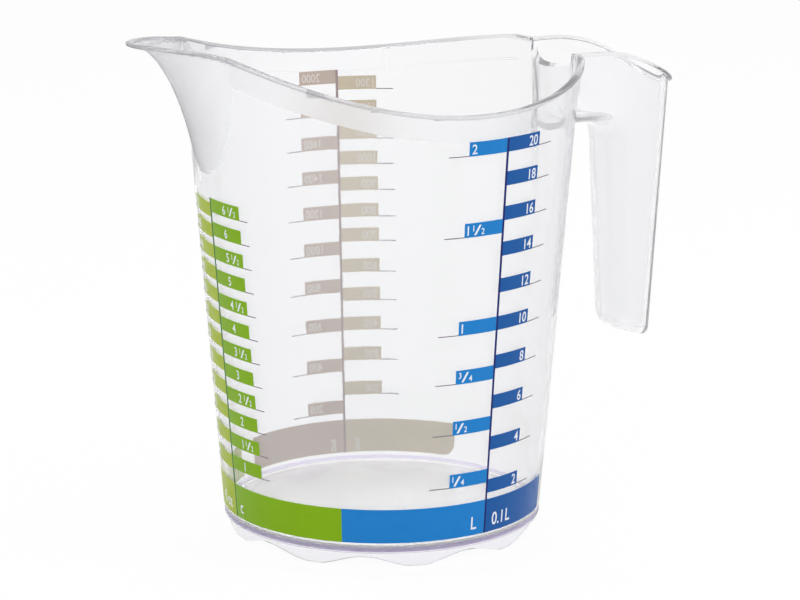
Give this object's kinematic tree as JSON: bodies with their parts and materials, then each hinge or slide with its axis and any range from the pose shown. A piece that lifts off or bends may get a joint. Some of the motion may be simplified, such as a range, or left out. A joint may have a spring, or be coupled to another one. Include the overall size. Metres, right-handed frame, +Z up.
{
  "type": "measuring jug",
  "caption": "Clear plastic measuring jug with a long open spout, a hollow handle, a lobed foot and printed scales for litres, decilitres, cups, ounces, sugar and flour.",
  "frame": {"origin": "on the surface that the jug stands on, under the middle of its overall length from spout to handle", "axes": "+X from the spout to the handle, +Y across the jug, +Z up"},
  "size_m": [0.2198, 0.1516, 0.195],
  "materials": {
    "clear_plastic": "gloss",
    "light_blue_ink": "gloss",
    "dark_blue_ink": "gloss",
    "green_ink": "gloss",
    "lime_ink": "gloss",
    "brown_ink": "gloss",
    "beige_ink": "gloss"
  },
  "bodies": {
    "root": {"jug_shell": "clear_plastic", "litre_scale_print": "light_blue_ink", "decilitre_scale_print": "dark_blue_ink", "cup_scale_print": "green_ink", "ounce_scale_print": "lime_ink", "sugar_scale_print": "brown_ink", "flour_scale_print": "beige_ink"}
  },
  "joints": []
}
